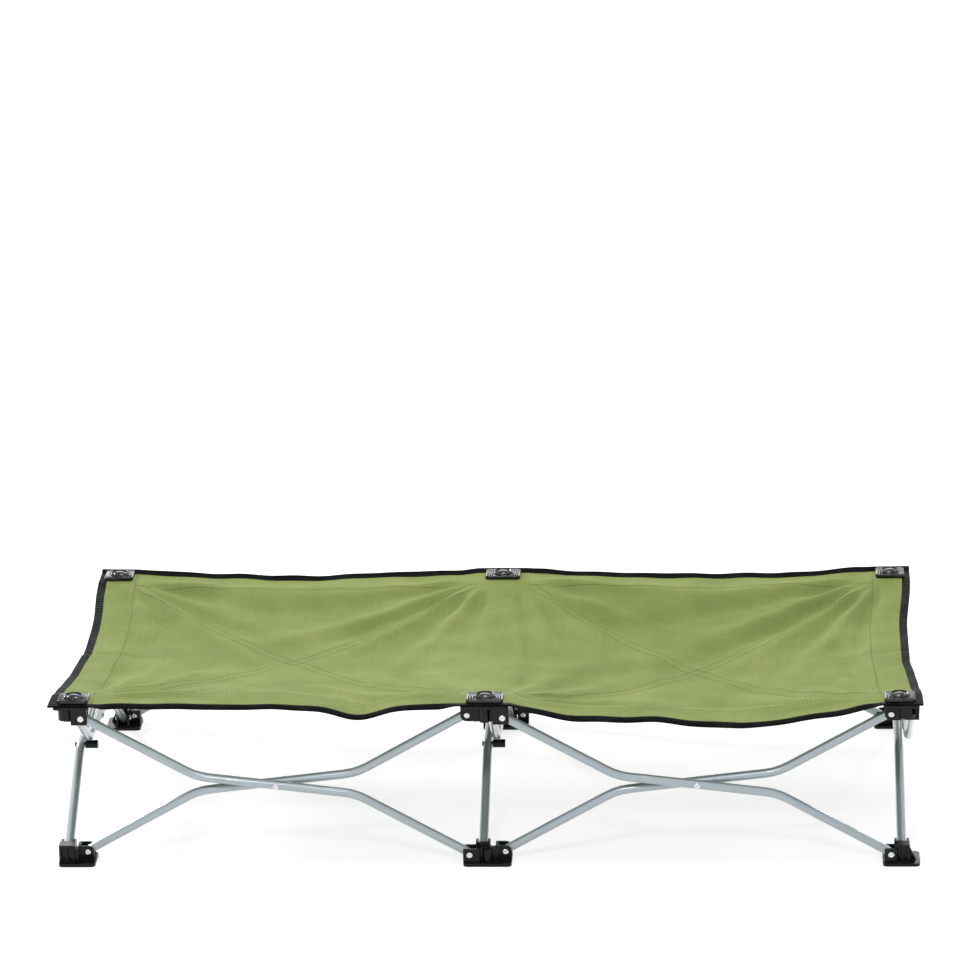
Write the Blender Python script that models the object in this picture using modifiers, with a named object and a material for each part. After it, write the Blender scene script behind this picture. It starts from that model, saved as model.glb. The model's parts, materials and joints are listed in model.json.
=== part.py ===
"""Folding raised pet cot at real size: metres, +Z up, standing on z = 0, centred on x = y = 0.

A woven sling is clamped at six points to plastic top brackets. Seven scissors of two bent
steel tubes carry the brackets: two along the front, two along the back, one across each end
and one across the middle. Six plastic feet hold the lower tube ends. All tubes have the same
distance between their end pivots, so the whole frame folds in length and depth together.

Names used below: a scissor has an outer tube, which falls to the right as seen from outside
the cot, and an inner tube behind it. The front is at -Y and the left is at -X. A moving body
is named after its main piece and hangs on an empty that stands on the axis of its joint.
"""

import math

import bmesh
import bpy
from mathutils import Matrix, Vector

# Scissor frame
SPAN = 0.532  # end pivot to end pivot along the floor, on every tube
RISE = 0.201  # end pivot to end pivot upwards, on every tube
FOOT_PIVOT_Z = 0.015  # height of the lower pivots
MIDDLE_PIVOT_X = 0.0245  # the two side pivots of a middle bracket stand this far from x = 0
SIDE_PLANE_Y = 0.278  # middle plane of the front and back scissors
END_PLANE_X = 0.578  # middle plane of the two end scissors
TUBE_RADIUS = 0.00635
TUBE_PITCH = 0.0132  # distance between the axes of the two tubes of a scissor
TUBE_OVERHANG = 0.0065  # tube beyond its end pivot
BEND_STEPS = 3
SIDE_BEND = (0.110, 0.013, 0.085)  # bend of a side tube: distance from the centre, height, radius
END_BEND = (0.110, 0.0068, 0.040)  # the same on the end and middle tubes

CORNER_PIVOT_X = MIDDLE_PIVOT_X + SPAN
END_PIVOT_Y = SPAN / 2
TOP_PIVOT_Z = FOOT_PIVOT_Z + RISE
CENTRE_Z = FOOT_PIVOT_Z + RISE / 2
HALF_PITCH = TUBE_PITCH / 2

# Brackets and feet
GAP = 0.0004  # between pieces that touch
SLOT_HALF = TUBE_RADIUS + GAP
CHEEK = 0.0032  # wall beside a tube end
CHEEK_REACH = 0.009  # cheek beyond the pivot
SLOT_REACH = 0.0096  # slot behind the pivot, for the turning tube end
SLOT_OPEN = 0.060  # slot cutter beyond the pivot, on its open sides
BACK_WALL = 0.004
ROUND_CORNER = 0.0085  # free corner of a rounded cheek
SQUARE_CORNER = 0.0025  # free corner of a square cheek
FOOT_BASE_TOP = 0.0045
FOOT_FRONT_Y = 0.300
FOOT_BACK_Y = 0.252
FOOT_OUTER_X = 0.596
FOOT_INNER_X = 0.545
FOOT_HORN_TOP = 0.0285  # the cheeks of an end tube's clevis stand up to here on a foot
FOOT_SOCKET_TOP = 0.0290  # box in front of the end clevis of a corner foot
SOCKET_FRONT_Y = 0.2925
SOCKET_HALF_X = 0.0105
SOCKET_POCKET = (0.0060, 0.0050)  # width and depth of each pocket in the front of the socket
POCKET_X = 0.0045
GUSSET_REACH = 0.0085  # brace beside the socket, along the base
GUSSET_HALF_Y = 0.0016
WEB_Y = (0.2890, 0.2785)  # wall that joins the socket to the side clevis
WEB_TOP = 0.0225
FIN_X = (0.5890, 0.5925)  # two upright fins at the outer end of one kind of corner top bracket
FIN_WIDTH = 0.0014
FIN_FRONT_Y = 0.2925
FIN_BOTTOM = 0.2170
FLANGE_BOTTOM = 0.2285
FLANGE_TOP = 0.2325
FLANGE_FRONT_Y = 0.2945
FLANGE_OUTER_X = 0.5950
MIDDLE_HALF_X = 0.0335
TOP_BARREL_BOTTOM = 0.2125
BARREL_RADIUS = 0.0105
MIDDLE_BARREL_RADIUS = 0.0070
BARREL_FRONT_Y = 0.2940
PLATE_CORNER = 0.006
CORE_HALF_X = 0.0149  # solid middle of a middle bracket, set back behind its barrel
CORE_FRONT_Y = 0.2850
CORE_BACK_Y = 0.2772
CORE_REACH = 0.008  # core beyond the pivots

# Rivets, pins and stop pegs
PIN_RADIUS = 0.0020
PIN_HOLE_RADIUS = 0.0024
HEAD_RADIUS = 0.0045
HEAD_CROWN = 0.0030  # flat crown of a rivet head
HEAD_HEIGHT = 0.0016
PEG_RADIUS = 0.0059
PEG_REACH = 0.0245  # from the axis of the tube that carries the peg
PEG_HEAD_RADIUS = 0.0038
PEG_HEAD_HEIGHT = 0.0012

# Sling and its clamp caps
SLING_HALF_X = 0.597
SLING_HALF_Y = 0.2945
SLING_THICKNESS = 0.002
SLING_Z = 0.2340  # middle of the sheet at the clamps
SLING_BOW_X = 0.008  # end edges curve in by this much
SLING_BOW_Y = 0.006  # front and back edges curve in by this much
END_EDGE_SAG = 0.026
MIDDLE_LINE_SAG = 0.030
FRONT_EDGE_SAG = (0.006, 0.027)  # left panel and right panel
BACK_EDGE_SAG = 0.008
PANEL_SAG = 0.008  # more in the middle of each panel
BACK_RISE = (0.2892, 0.0045)  # the back edge turns up from this place on, by this much
PANEL_COLUMNS = 8
PANEL_ROWS = 5
CAP_X = 0.568
CAP_Y = 0.270
CAP_SIZE = (0.042, 0.036)
MIDDLE_CAP_SIZE = (0.051, 0.036)
CAP_BOTTOM = 0.2355
CAP_THICKNESS = 0.0046
CAP_CORNER = 0.005
STUD_RADIUS = 0.0040
STUD_HOLE_RADIUS = 0.0044
STUD_BOTTOM = 0.2272
STUD_HOLE_BOTTOM = 0.2267
DOME_RADIUS = 0.0145
DOME_HEIGHT = 0.0055
RIB_COUNT = 3
RIB_WIDTH = 0.0020
RIB_HEIGHT = 0.0009
RIB_PITCH = 0.0036
RIB_INSET = 0.0035
CLAMP_FLAT = (0.025, 0.022)  # half size of the flat of the sling at a corner clamp
MIDDLE_CLAMP_FLAT = (0.036, 0.022)

ROUND_SIDES = 10
BARREL_SIDES = 14
DOME_RINGS = 6
TUBE_BEVEL_RESOLUTION = 3
MERGE = 0.00001

PARTS_COLLECTION = "folding_pet_cot"
CUTTERS_COLLECTION = "cutters"

FRONT, BACK = -1, 1
LEFT, RIGHT = -1, 1
SIDE_NAME = {FRONT: "front", BACK: "back"}
END_NAME = {LEFT: "left", RIGHT: "right"}

# The body that each moving body hangs on. The front middle foot carries the whole cot. Ten more
# pivots close the loops of the frame and join no new body, so they aren't listed.
HANGS_ON = {
    "tube_front_left_outer": "foot_front_middle",
    "top_bracket_front_left": "tube_front_left_outer",
    "tube_front_left_inner": "tube_front_left_outer",
    "foot_front_left": "tube_front_left_inner",
    "top_bracket_front_middle": "tube_front_left_inner",
    "tube_front_right_inner": "foot_front_middle",
    "top_bracket_front_right": "tube_front_right_inner",
    "tube_front_right_outer": "tube_front_right_inner",
    "foot_front_right": "tube_front_right_outer",
    "tube_middle_outer": "foot_front_middle",
    "top_bracket_back_middle": "tube_middle_outer",
    "tube_middle_inner": "tube_middle_outer",
    "foot_back_middle": "tube_middle_inner",
    "tube_back_left_inner": "foot_back_middle",
    "top_bracket_back_left": "tube_back_left_inner",
    "tube_back_left_outer": "tube_back_left_inner",
    "foot_back_left": "tube_back_left_outer",
    "tube_back_right_outer": "foot_back_middle",
    "top_bracket_back_right": "tube_back_right_outer",
    "tube_back_right_inner": "tube_back_right_outer",
    "foot_back_right": "tube_back_right_inner",
    "tube_end_left_outer": "foot_front_left",
    "tube_end_left_inner": "tube_end_left_outer",
    "tube_end_right_inner": "foot_front_right",
    "tube_end_right_outer": "tube_end_right_inner",
}


# Scene, collections and materials


def clear_scene():
    for obj in list(bpy.data.objects):
        bpy.data.objects.remove(obj, do_unlink=True)


def new_collection(name):
    collection = bpy.data.collections.new(name)
    bpy.context.scene.collection.children.link(collection)
    return collection


def principled(name, colour, roughness, metallic=0.0):
    material = bpy.data.materials.new(name)
    material.use_nodes = True
    shader = material.node_tree.nodes["Principled BSDF"]
    shader.inputs["Base Color"].default_value = (*colour, 1.0)
    shader.inputs["Roughness"].default_value = roughness
    shader.inputs["Metallic"].default_value = metallic
    material.diffuse_color = (*colour, 1.0)
    return material


def add_part(name, mesh, material, location=(0, 0, 0), turn=0.0, body=None):
    """A named piece of the cot, turned about Z and placed. It moves with the named body."""
    obj = bpy.data.objects.new(name, mesh)
    obj["body"] = body or name
    obj.location = location
    obj.rotation_euler = (0.0, 0.0, turn)
    if not mesh.materials:
        mesh.materials.append(material)
    bpy.data.collections[PARTS_COLLECTION].objects.link(obj)
    return obj


def add_cutter(name, mesh):
    obj = bpy.data.objects.new(name, mesh)
    obj.hide_render = True
    obj.display_type = "WIRE"
    bpy.data.collections[CUTTERS_COLLECTION].objects.link(obj)
    return obj


def shade(mesh, angle=math.radians(40)):
    mesh.shade_smooth()
    mesh.set_sharp_from_angle(angle=angle)


# Solids that the brackets and caps are made of


def add_box(bm, low, high):
    """A box between two corners, given in any order. Its vertices are returned."""
    low, high = Vector(low), Vector(high)
    size = Vector([abs(b - a) for a, b in zip(low, high)])
    place = Matrix.Translation((low + high) / 2) @ Matrix.Diagonal((*size, 1.0))
    return bmesh.ops.create_cube(bm, size=1.0, matrix=place)["verts"]


def edges_along(verts, axis, keep=lambda point: True):
    """Edges of a box that run along an axis and whose ends both satisfy keep."""
    inside = set(verts)
    return [
        edge
        for vert in verts
        for edge in vert.link_edges
        if edge.verts[0] == vert
        and edge.verts[1] in inside
        and abs((edge.verts[1].co - edge.verts[0].co).normalized()[axis]) > 0.9
        and all(keep(end.co) for end in edge.verts)
    ]


def round_edges(bm, edges, radius, steps):
    bmesh.ops.bevel(
        bm, geom=edges, offset=radius, segments=steps, profile=0.5, affect="EDGES"
    )


def add_rounded_plate(bm, low, high, radius, steps=3):
    verts = add_box(bm, low, high)
    round_edges(bm, edges_along(verts, 2), radius, steps)


def add_cylinder(bm, centre, axis, radius, length, sides=ROUND_SIDES):
    turn = Vector((0, 0, 1)).rotation_difference(Vector(axis)).to_matrix().to_4x4()
    bmesh.ops.create_cone(
        bm,
        cap_ends=True,
        segments=sides,
        radius1=radius,
        radius2=radius,
        depth=length,
        matrix=Matrix.Translation(centre) @ turn,
    )


def finished(bm, name):
    mesh = bpy.data.meshes.new(name)
    bm.to_mesh(mesh)
    bm.free()
    return mesh


def joined_solid(name, body, cuts=None, pins=None):
    """One closed mesh: the solids in body joined, cuts taken away, then pins added."""
    solid = add_cutter(name, finished(body, name))
    tools = []
    for operation, tool in (("DIFFERENCE", cuts), ("UNION", pins)):
        if tool is None:
            continue
        cutter = add_cutter(f"{name}_{operation.lower()}", finished(tool, name))
        boolean = solid.modifiers.new(operation.lower(), "BOOLEAN")
        boolean.operation = operation
        boolean.solver = "EXACT"
        boolean.use_self = True
        boolean.object = cutter
        tools.append(cutter)
    mesh = evaluated_mesh(solid, name)
    for obj in [solid, *tools]:
        bpy.data.objects.remove(obj)
    return mesh


def evaluated_mesh(obj, name):
    bpy.context.view_layer.update()
    depsgraph = bpy.context.evaluated_depsgraph_get()
    mesh = bpy.data.meshes.new_from_object(obj.evaluated_get(depsgraph))
    mesh.name = name
    bm = bmesh.new()
    bm.from_mesh(mesh)
    bmesh.ops.remove_doubles(bm, verts=bm.verts, dist=MERGE)
    bm.to_mesh(mesh)
    bm.free()
    return mesh


def turned_mesh(name, profile, along):
    """A profile of (radius, height) points, top to bottom, turned about Z, then laid along an axis."""
    mesh = bpy.data.meshes.new(name)
    points = [(radius, 0.0, height) for radius, height in profile]
    mesh.from_pydata(points, [(i, i + 1) for i in range(len(points) - 1)], [])
    guide = add_cutter(name, mesh)
    screw = guide.modifiers.new("turn", "SCREW")
    screw.axis = "Z"
    screw.steps = ROUND_SIDES
    screw.render_steps = ROUND_SIDES
    screw.use_merge_vertices = True
    screw.merge_threshold = MERGE
    turned = evaluated_mesh(guide, name)
    bpy.data.objects.remove(guide)
    turned.transform(Vector((0, 0, 1)).rotation_difference(Vector(along)).to_matrix().to_4x4())
    shade(turned)
    return turned


# Tubes


def arc_between(corner, before, after, radius, steps):
    """Points of the arc that rounds a corner of a path in the XZ plane."""
    arriving = (corner - before).normalized()
    leaving = (after - corner).normalized()
    turn = arriving.angle(leaving)
    inward = (leaving - arriving * math.cos(turn)).normalized()
    start = corner - arriving * radius * math.tan(turn / 2)
    angles = [turn * step / steps for step in range(steps + 1)]
    return [
        start + radius * (arriving * math.sin(angle) + inward * (1 - math.cos(angle)))
        for angle in angles
    ]


def tube_path(bend):
    """Centre line of a tube, from its upper left end to its lower right end, round (0, 0, 0)."""
    along, height, radius = bend
    top = Vector((-SPAN / 2, 0, RISE / 2))
    upper = Vector((-along, 0, height))
    end = top + (top - upper).normalized() * TUBE_OVERHANG
    first_half = [end, *arc_between(upper, top, -upper, radius, BEND_STEPS)]
    return first_half + [-point for point in reversed(first_half)]


def tube_mesh(name, bend, holes_along):
    """A bent tube in the XZ plane with pin holes along Y at its pivots."""
    curve = bpy.data.curves.new(name, "CURVE")
    curve.dimensions = "3D"
    curve.bevel_depth = TUBE_RADIUS
    curve.bevel_resolution = TUBE_BEVEL_RESOLUTION
    curve.use_fill_caps = True
    path = tube_path(bend)
    spline = curve.splines.new("POLY")
    spline.points.add(len(path) - 1)
    for point, place in zip(spline.points, path):
        point.co = (*place, 1.0)
    guide = add_cutter(name, curve)
    body = bmesh.new()
    body.from_mesh(evaluated_mesh(guide, name))
    bpy.data.objects.remove(guide)
    cuts = bmesh.new()
    for place in holes_along:
        add_cylinder(cuts, place, (0, 1, 0), PIN_HOLE_RADIUS, 4 * TUBE_RADIUS)
    mesh = joined_solid(name, body, cuts)
    shade(mesh)
    return mesh


def pivot_places():
    """The two end pivots and the centre pivot of a tube, in its own frame."""
    end = Vector((-SPAN / 2, 0, RISE / 2))
    return [end, Vector((0, 0, 0)), -end]


def end_place(tube, level):
    """The top or foot pivot of an outer or inner tube, from the centre of its scissor."""
    height = RISE / 2 if level == "top" else -RISE / 2
    falls = 1 if tube == "outer" else -1
    return Vector((-falls * math.copysign(SPAN / 2, height), 0, height))


def spot_name(place):
    """Which of the six brackets of its level a point belongs to."""
    side = SIDE_NAME[FRONT if place.y < 0 else BACK]
    if abs(place.x) < CORNER_PIVOT_X / 2:
        return f"{side}_middle"
    return f"{side}_{END_NAME[LEFT if place.x < 0 else RIGHT]}"


def peg_place():
    """Where the stop peg sits on its tube: it just meets the crossing tube of the open scissor."""
    along, height, _ = END_BEND
    slope = height / along
    reach = TUBE_RADIUS * math.hypot(1, slope) + PEG_RADIUS + GAP
    distance = reach / (2 * slope)
    return Vector((distance, 0, -distance * slope))


# Rivets and pegs


def rivet_mesh(name, grip):
    """A rivet along Y that holds parts of the given thickness between its two heads."""
    face = grip / 2 + GAP
    top = [
        (0, face + HEAD_HEIGHT),
        (HEAD_CROWN, face + HEAD_HEIGHT),
        (HEAD_RADIUS, face),
        (PIN_RADIUS, face),
    ]
    bottom = [(radius, -height) for radius, height in reversed(top)]
    return turned_mesh(name, top + bottom, (0, 1, 0))


def peg_mesh():
    """A plastic peg along Y: a thick end under the crossing tube, and a stem through its own tube."""
    shoulder = TUBE_RADIUS + GAP
    profile = [
        (0, PEG_REACH),
        (PEG_RADIUS, PEG_REACH),
        (PEG_RADIUS, shoulder),
        (PIN_RADIUS, shoulder),
        (PIN_RADIUS, -shoulder),
        (PEG_HEAD_RADIUS, -shoulder),
        (PEG_HEAD_RADIUS, -shoulder - PEG_HEAD_HEIGHT),
        (0, -shoulder - PEG_HEAD_HEIGHT),
    ]
    return turned_mesh("stop_peg", profile, (0, 1, 0))


# Brackets and feet


def place_along(pin_axis, along, across, height):
    """A point from its place along a clevis, across it (along its pin) and its height."""
    return (across, along, height) if pin_axis == "X" else (along, across, height)


def add_clevis(body, cuts, pin_axis, pivot, plane, toward, level, square, reach=CHEEK_REACH):
    """A block with a slot for one tube end. The tube leaves towards `toward` along the block.

    pivot and plane are the pivot's place along the block and the middle of the slot across it.
    level is 1 on a foot, where the slot is open at the top, and -1 on a top bracket. reach is how
    far the cheeks stand beyond the pivot, up on a foot and down on a top bracket.
    """
    pivot_z = FOOT_PIVOT_Z if level > 0 else TOP_PIVOT_Z
    root_z = FOOT_BASE_TOP / 2 if level > 0 else (FLANGE_BOTTOM + FLANGE_TOP) / 2
    free_z = pivot_z + level * reach
    free = pivot + toward * CHEEK_REACH
    back = pivot - toward * (SLOT_REACH + BACK_WALL)
    half = SLOT_HALF + CHEEK
    verts = add_box(
        body,
        place_along(pin_axis, back, plane - half, root_z),
        place_along(pin_axis, free, plane + half, free_z),
    )
    along_axis, across_axis = (1, 0) if pin_axis == "X" else (0, 1)
    free_corner = edges_along(
        verts,
        across_axis,
        lambda point: abs(point[along_axis] - free) < MERGE and abs(point.z - free_z) < MERGE,
    )
    round_edges(body, free_corner, SQUARE_CORNER if square else ROUND_CORNER, 2 if square else 4)
    slot_corners = [
        place_along(
            pin_axis, pivot + toward * length, plane + side * SLOT_HALF, pivot_z + level * length
        )
        for length, side in ((-SLOT_REACH, -1), (SLOT_OPEN, 1))
    ]
    add_box(cuts, *slot_corners)


def add_side_clevis(body, cuts, pivot_x, toward, outer, level):
    """The clevis of a front tube, with a hole for its rivet."""
    plane = -SIDE_PLANE_Y - HALF_PITCH if outer else -SIDE_PLANE_Y + HALF_PITCH
    add_clevis(body, cuts, "Y", pivot_x, plane, toward, level, square=outer)
    pivot_z = FOOT_PIVOT_Z if level > 0 else TOP_PIVOT_Z
    hole_length = 2 * (SLOT_HALF + CHEEK) + CHEEK
    add_cylinder(cuts, (pivot_x, plane, pivot_z), (0, 1, 0), PIN_HOLE_RADIUS, hole_length)


def add_end_clevis(body, cuts, pins, plane_x, level):
    """The clevis of an end or middle tube, with its pin moulded in."""
    reach = FOOT_HORN_TOP - FOOT_PIVOT_Z if level > 0 else CHEEK_REACH
    add_clevis(body, cuts, "X", -END_PIVOT_Y, plane_x, 1, level, square=False, reach=reach)
    pivot_z = FOOT_PIVOT_Z if level > 0 else TOP_PIVOT_Z
    add_cylinder(
        pins, (plane_x, -END_PIVOT_Y, pivot_z), (1, 0, 0), PIN_RADIUS, 2 * SLOT_HALF + CHEEK
    )


def add_barrel(body, x, radius, low, high):
    """The upright round boss in front of an end or middle clevis."""
    centre = (x, radius - BARREL_FRONT_Y, (low + high) / 2)
    add_cylinder(body, centre, (0, 0, 1), radius, high - low, BARREL_SIDES)


def add_socket(body, cuts, x):
    """The box in front of the end clevis of a corner foot, with two pockets in its front."""
    back_y = -END_PIVOT_Y - SLOT_REACH
    bottom = FOOT_BASE_TOP / 2
    add_box(
        body, (x - SOCKET_HALF_X, -SOCKET_FRONT_Y, bottom), (x + SOCKET_HALF_X, back_y, FOOT_SOCKET_TOP)
    )
    width, depth = SOCKET_POCKET
    for side in (LEFT, RIGHT):
        centre = x + side * POCKET_X
        low = (centre - width / 2, -SOCKET_FRONT_Y - depth, FOOT_BASE_TOP + 0.002)
        high = (centre + width / 2, -SOCKET_FRONT_Y + depth, FOOT_SOCKET_TOP - 0.003)
        add_box(cuts, low, high)


def add_gusset(body, x, toward):
    """A brace from the top of the socket's side down to the base."""
    bottom = FOOT_BASE_TOP / 2
    middle_y = BARREL_RADIUS - BARREL_FRONT_Y
    verts = add_box(
        body,
        (x - toward * GUSSET_HALF_Y, middle_y - GUSSET_HALF_Y, bottom),
        (x + toward * GUSSET_REACH, middle_y + GUSSET_HALF_Y, FOOT_SOCKET_TOP - 0.002),
    )
    for vert in verts:
        if (vert.co.x - x) * toward > GUSSET_HALF_Y and vert.co.z > FOOT_BASE_TOP:
            vert.co.z = FOOT_BASE_TOP + 0.0015


def add_web(body, end, socket_x):
    """The wall between the socket and the back of the side clevis."""
    clevis_x = end * (CORNER_PIVOT_X + SLOT_REACH + BACK_WALL / 2)
    low = (clevis_x, -WEB_Y[0], FOOT_BASE_TOP / 2)
    add_box(body, low, (socket_x, -WEB_Y[1], WEB_TOP))


def add_fins(body, end):
    """Two upright fins under the outer end of a top bracket's flange."""
    for x in FIN_X:
        low = (end * x, -FIN_FRONT_Y, FIN_BOTTOM)
        add_box(body, low, (end * (x + FIN_WIDTH), -END_PIVOT_Y - SLOT_REACH, FLANGE_BOTTOM + 0.002))


def add_plate(body, low_x, high_x, level):
    """The base plate of a foot, or the flange of a top bracket under the sling."""
    if level > 0:
        low, high = (low_x, -FOOT_FRONT_Y, 0.0), (high_x, -FOOT_BACK_Y, FOOT_BASE_TOP)
    else:
        low, high = (low_x, -FLANGE_FRONT_Y, FLANGE_BOTTOM), (high_x, -FOOT_BACK_Y, FLANGE_TOP)
    add_rounded_plate(body, low, high, PLATE_CORNER)


def add_stud_hole(cuts, x):
    length = FLANGE_TOP + 0.005 - STUD_HOLE_BOTTOM
    centre = (x, -CAP_Y, STUD_HOLE_BOTTOM + length / 2)
    add_cylinder(cuts, centre, (0, 0, 1), STUD_HOLE_RADIUS, length)


def corner_bracket_mesh(name, end, level):
    """A front corner foot (level 1) or top bracket (level -1), at the left or right end."""
    # Going round the cot, a foot and the bracket above it hold different tubes of each scissor
    side_outer = (end == RIGHT) == (level > 0)
    plane_x = end * (END_PLANE_X - HALF_PITCH if side_outer else END_PLANE_X + HALF_PITCH)
    outer_x = FOOT_OUTER_X if level > 0 else FLANGE_OUTER_X
    body, cuts, pins = bmesh.new(), bmesh.new(), bmesh.new()
    add_plate(body, *sorted((end * outer_x, end * FOOT_INNER_X)), level)
    add_side_clevis(body, cuts, end * CORNER_PIVOT_X, -end, side_outer, level)
    add_end_clevis(body, cuts, pins, plane_x, level)
    if level > 0:
        add_socket(body, cuts, plane_x)
        add_web(body, end, plane_x)
        if side_outer:
            add_gusset(body, plane_x + end * SOCKET_HALF_X, end)
    else:
        add_barrel(body, end * END_PLANE_X, BARREL_RADIUS, TOP_BARREL_BOTTOM, FLANGE_BOTTOM + 0.002)
        add_stud_hole(cuts, end * CAP_X)
        if not side_outer:
            add_fins(body, end)
    return joined_solid(name, body, cuts, pins)


def middle_bracket_mesh(name, level):
    """The front middle foot (level 1) or top bracket (level -1)."""
    body, cuts, pins = bmesh.new(), bmesh.new(), bmesh.new()
    add_plate(body, -MIDDLE_HALF_X, MIDDLE_HALF_X, level)
    for end in (LEFT, RIGHT):
        outer = (end == LEFT) == (level > 0)
        add_side_clevis(body, cuts, end * MIDDLE_PIVOT_X, end, outer, level)
    add_end_clevis(body, cuts, pins, -level * HALF_PITCH, level)
    if level > 0:
        low_z, high_z = FOOT_BASE_TOP / 2, FOOT_PIVOT_Z + CORE_REACH
    else:
        low_z, high_z = TOP_PIVOT_Z - CORE_REACH, FLANGE_BOTTOM + 0.002
        add_stud_hole(cuts, 0.0)
    add_barrel(body, 0.0, MIDDLE_BARREL_RADIUS, low_z + 0.001, high_z - 0.001)
    add_box(body, (-CORE_HALF_X, -CORE_FRONT_Y, low_z), (CORE_HALF_X, -CORE_BACK_Y, high_z))
    return joined_solid(name, body, cuts, pins)


def add_bracket(name, mesh, material, origin, side):
    """A bracket whose mesh was made at the front, put at its origin; the back ones are turned round."""
    turn = 0.0 if side == FRONT else math.pi
    return add_part(name, mesh, material, (-side * origin[0], -side * origin[1], origin[2]), turn)


def brackets(material):
    """Six feet and six top brackets. A back bracket is a front one turned half round."""
    for level, kind, z in ((1, "foot", FOOT_PIVOT_Z), (-1, "top_bracket", TOP_PIVOT_Z)):
        origin = Vector((-MIDDLE_PIVOT_X, -SIDE_PLANE_Y, z))
        mesh = middle_bracket_mesh(f"{kind}_middle", level)
        mesh.transform(Matrix.Translation(-origin))
        shade(mesh)
        for side in (FRONT, BACK):
            add_bracket(f"{kind}_{SIDE_NAME[side]}_middle", mesh, material, origin, side)
        for end in (LEFT, RIGHT):
            origin = Vector((end * CORNER_PIVOT_X, -SIDE_PLANE_Y, z))
            mesh = corner_bracket_mesh(f"{kind}_corner_{END_NAME[end]}", end, level)
            mesh.transform(Matrix.Translation(-origin))
            shade(mesh)
            for side in (FRONT, BACK):
                name = f"{kind}_{SIDE_NAME[side]}_{END_NAME[-side * end]}"
                add_bracket(name, mesh, material, origin, side)


# Scissors


def scissor_frames():
    """Name, centre and turn of each scissor. Turned back by it, a scissor faces -Y."""
    side_x = (CORNER_PIVOT_X + MIDDLE_PIVOT_X) / 2
    frames = []
    for side in (FRONT, BACK):
        for end in (LEFT, RIGHT):
            turn = 0.0 if side == FRONT else math.pi
            name = f"{SIDE_NAME[side]}_{END_NAME[end]}"
            frames.append((name, Vector((end * side_x, side * SIDE_PLANE_Y, CENTRE_Z)), turn))
    frames.append(("end_left", Vector((-END_PLANE_X, 0, CENTRE_Z)), -math.pi / 2))
    frames.append(("end_right", Vector((END_PLANE_X, 0, CENTRE_Z)), math.pi / 2))
    frames.append(("middle", Vector((0, 0, CENTRE_Z)), -math.pi / 2))
    return frames


def scissors(steel, rivet_steel, plastic):
    """Fourteen tubes with their centre rivets, end rivets and stop pegs."""
    side_tube = tube_mesh("side_tube", SIDE_BEND, pivot_places())
    end_tube = tube_mesh("end_tube", END_BEND, pivot_places())
    pegged_tube = tube_mesh("pegged_tube", END_BEND, [*pivot_places(), peg_place()])
    centre_rivet = rivet_mesh("centre_rivet", TUBE_PITCH + 2 * TUBE_RADIUS)
    end_rivet = rivet_mesh("end_rivet", 2 * (SLOT_HALF + CHEEK))
    stop_peg = peg_mesh()
    for name, centre, turn in scissor_frames():
        across = Matrix.Rotation(turn, 3, "Z") @ Vector((0, HALF_PITCH, 0))
        is_side = name.startswith(("front", "back"))
        outer = side_tube if is_side else pegged_tube
        inner = side_tube if is_side else end_tube
        add_part(f"tube_{name}_outer", outer, steel, centre - across, turn)
        add_part(f"tube_{name}_inner", inner, steel, centre + across, turn + math.pi)
        carrier = f"tube_{name}_outer"
        add_part(f"rivet_{name}_centre", centre_rivet, rivet_steel, centre, turn, carrier)
        if is_side:
            add_end_rivets(name, centre, turn, across, end_rivet, rivet_steel)
        else:
            place = Matrix.Rotation(turn, 3, "Z") @ peg_place()
            peg_centre = centre - across + place
            add_part(f"stop_peg_{name}", stop_peg, plastic, peg_centre, turn, carrier)


def add_end_rivets(name, centre, turn, across, mesh, material):
    """The four rivets that hold a side scissor in its brackets, two per tube."""
    for tube, offset in (("outer", -across), ("inner", across)):
        for level, kind in (("top", "top_bracket"), ("foot", "foot")):
            place = centre + offset + Matrix.Rotation(turn, 3, "Z") @ end_place(tube, level)
            bracket = f"{kind}_{spot_name(place)}"
            add_part(f"rivet_{name}_{tube}_{level}", mesh, material, place, turn, bracket)


# Sling and clamp caps


def clamp_places():
    """Middle and flat half size of the six clamped places of the sling."""
    places = []
    for side in (FRONT, BACK):
        places += [(end * CAP_X, side * CAP_Y, CLAMP_FLAT) for end in (LEFT, RIGHT)]
        places.append((0.0, side * CAP_Y, MIDDLE_CLAMP_FLAT))
    return places


def arch(share):
    """1 in the middle of a span and 0 at its ends."""
    return 4 * share * (1 - share)


def share_between(value, start, stop):
    return min(1.0, max(0.0, (value - start) / (stop - start)))


def sling_sag(x, y):
    """How far a panel hangs below its clamps, drawn between the sagging lines of its four edges."""
    along = share_between(abs(x), MIDDLE_CLAMP_FLAT[0], CAP_X - CLAMP_FLAT[0])
    reach = CAP_Y - CLAMP_FLAT[1]
    back = share_between(y, -reach, reach)
    across_lines = MIDDLE_LINE_SAG + (END_EDGE_SAG - MIDDLE_LINE_SAG) * along
    front = FRONT_EDGE_SAG[0] if x < 0 else FRONT_EDGE_SAG[1]
    side_lines = front + (BACK_EDGE_SAG - front) * back
    return across_lines * arch(back) + (side_lines + PANEL_SAG * arch(back)) * arch(along)


def sling_point(x, y):
    """A point of the sheet from its place on the flat cloth."""
    depth = min(1.0, abs(y) / CAP_Y)
    panel = min(1.0, abs(x) / CAP_X)
    bowed_x = x * (1 - SLING_BOW_X / SLING_HALF_X * (1 - depth * depth))
    bowed_y = y * (1 - SLING_BOW_Y / SLING_HALF_Y * arch(panel))
    rise = BACK_RISE[1] * share_between(y, BACK_RISE[0], SLING_HALF_Y)
    return Vector((bowed_x, bowed_y, SLING_Z - sling_sag(x, y) + rise))


def grid_lines(inner_flat, clamp, flat, half, count):
    """Places of the grid lines on one half: close at the clamps and even between them."""
    start, stop = inner_flat, clamp - flat
    between = [start + (stop - start) * i / count for i in range(count + 1)]
    return sorted({0.0, *between, half})


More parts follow.
